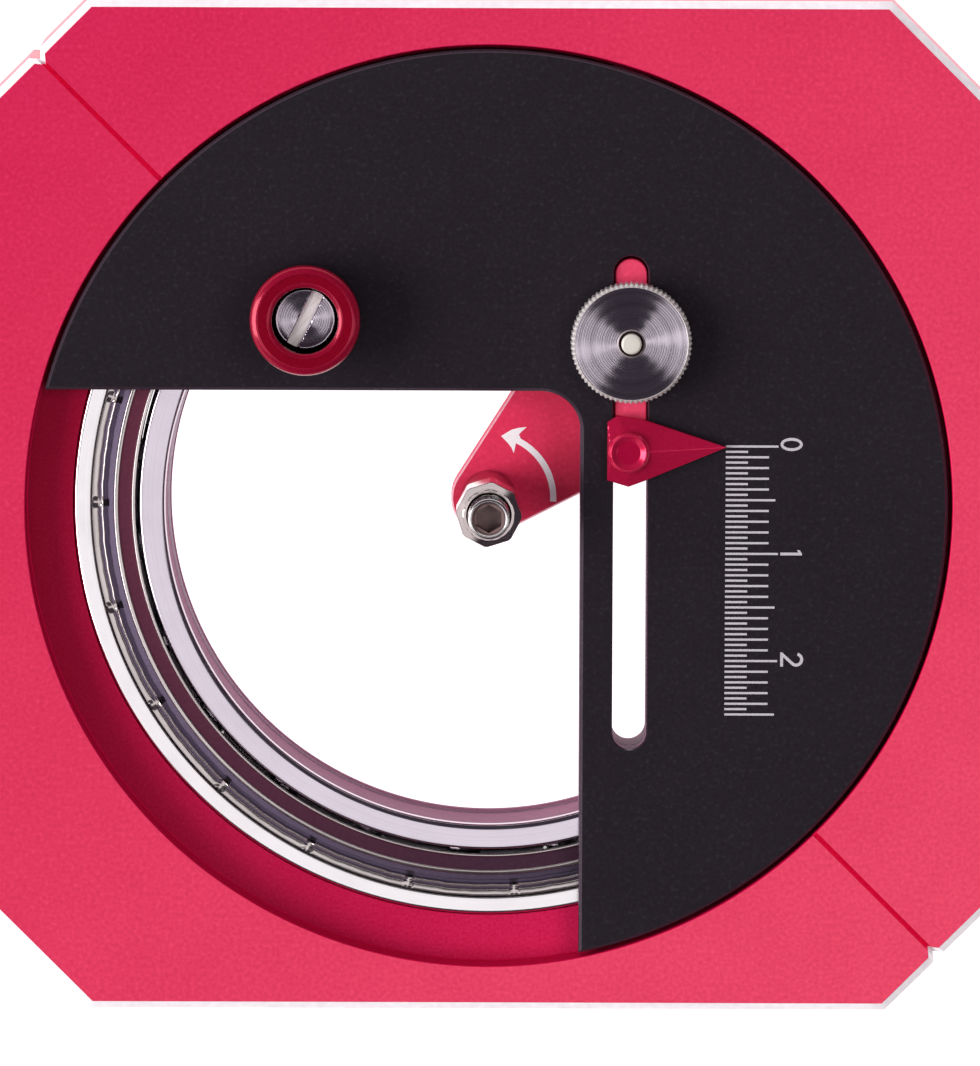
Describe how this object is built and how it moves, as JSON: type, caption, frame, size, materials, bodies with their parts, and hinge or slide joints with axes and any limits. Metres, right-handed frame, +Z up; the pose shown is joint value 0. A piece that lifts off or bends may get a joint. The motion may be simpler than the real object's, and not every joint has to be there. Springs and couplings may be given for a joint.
{
  "type": "circle cutter",
  "caption": "Square frame with a disc on a thin ball bearing; a blade arm slides along a slot beside a radius scale, and a knob turns the disc to cut a circle.",
  "frame": {"origin": "On the disc's turning axis, in the plane of the frame's flat underside.", "axes": "+Z is up, out of the face with the scale. +Y runs along the slot, away from the edge the blade moves towards. +X points from the axis to the slot and its scale."},
  "size_m": [0.094, 0.094, 0.0212],
  "materials": {
    "red_anodised": "satin anodised",
    "dark_red_anodised": "gloss anodised",
    "black_anodised": "satin anodised",
    "polished_steel": "polished",
    "turned_steel": "turned",
    "pressed_steel": "pressed sheet",
    "spring_wire": "drawn wire"
  },
  "bodies": {
    "base": {"frame_body": "red_anodised", "bearing_outer_race": "polished_steel", "bearing_shield_top": "pressed_steel", "bearing_shield_bottom": "pressed_steel"},
    "ball_cage": {"bearing_cage": "pressed_steel", "bearing_ball_01": "polished_steel", "bearing_ball_02": "polished_steel", "bearing_ball_03": "polished_steel", "bearing_ball_04": "polished_steel", "bearing_ball_05": "polished_steel", "bearing_ball_06": "polished_steel", "bearing_ball_07": "polished_steel", "bearing_ball_08": "polished_steel", "bearing_ball_09": "polished_steel", "bearing_ball_10": "polished_steel", "bearing_ball_11": "polished_steel", "bearing_ball_12": "polished_steel", "bearing_ball_13": "polished_steel", "bearing_ball_14": "polished_steel", "bearing_ball_15": "polished_steel", "bearing_ball_16": "polished_steel", "bearing_ball_17": "polished_steel", "bearing_ball_18": "polished_steel", "bearing_ball_19": "polished_steel", "bearing_ball_20": "polished_steel", "bearing_ball_21": "polished_steel", "bearing_ball_22": "polished_steel", "bearing_ball_23": "polished_steel"},
    "disc": {"disc_plate": "black_anodised", "bearing_inner_race": "polished_steel", "retaining_ring": "turned_steel", "retaining_screw_1": "turned_steel", "retaining_screw_2": "turned_steel", "retaining_screw_3": "turned_steel", "retaining_screw_4": "turned_steel", "handle_screw": "turned_steel"},
    "handle": {"handle_knob": "dark_red_anodised"},
    "slider": {"slider_arm": "red_anodised", "clamp_stud": "turned_steel", "pointer": "dark_red_anodised", "pointer_pin": "dark_red_anodised", "blade_return_spring": "spring_wire"},
    "clamp": {"clamp_washer": "turned_steel"},
    "clamp_nut": {"thumb_nut": "turned_steel"},
    "blade_carriage": {"blade_carrier": "turned_steel", "blade": "polished_steel"},
    "depth_screw": {"blade_screw": "turned_steel"},
    "lock_nut": {"blade_lock_nut": "polished_steel"}
  },
  "joints": [
    {"name": "disc_spin", "type": "hinge", "parent": "base", "child": "disc", "pos_m": [0, 0, 0.0052], "axis": [0, 0, 1], "continuous": true},
    {"name": "cage_spin", "type": "hinge", "parent": "base", "child": "ball_cage", "pos_m": [0, 0, 0.0052], "axis": [0, 0, 1], "continuous": true},
    {"name": "handle_spin", "type": "hinge", "parent": "disc", "child": "handle", "pos_m": [-0.01695, 0.0179, 0.015], "axis": [0, 0, 1], "continuous": true},
    {"name": "radius_slide", "type": "slide", "parent": "disc", "child": "slider", "axis": [0, -1, 0], "range_m": [0, 0.025]},
    {"name": "clamp_lift", "type": "slide", "parent": "slider", "child": "clamp", "axis": [0, 0, 1], "range_m": [0, 0.000375]},
    {"name": "thumb_nut_turn", "type": "hinge", "parent": "clamp", "child": "clamp_nut", "pos_m": [0.01308, 0.0156, 0.0139], "axis": [0, 0, 1], "range_deg": [0, 270]},
    {"name": "blade_depth", "type": "slide", "parent": "slider", "child": "blade_carriage", "axis": [0, 0, -1], "range_m": [0, 0.0014], "deforming": ["blade_return_spring"]},
    {"name": "depth_screw_turn", "type": "hinge", "parent": "blade_carriage", "child": "depth_screw", "pos_m": [0, 0, 0.0149], "axis": [0, 0, -1], "range_deg": [0, 720]},
    {"name": "lock_nut_turn", "type": "hinge", "parent": "slider", "child": "lock_nut", "pos_m": [0, 0, 0.0153], "axis": [0, 0, 1], "range_deg": [0, 120]}
  ],
  "couplings": [
    {"joint": "cage_spin", "follows": "disc_spin", "ratio": 0.4708},
    {"joint": "thumb_nut_turn", "follows": "clamp_lift", "rad_per_m": 12566},
    {"joint": "depth_screw_turn", "follows": "blade_depth", "rad_per_m": 8976}
  ]
}
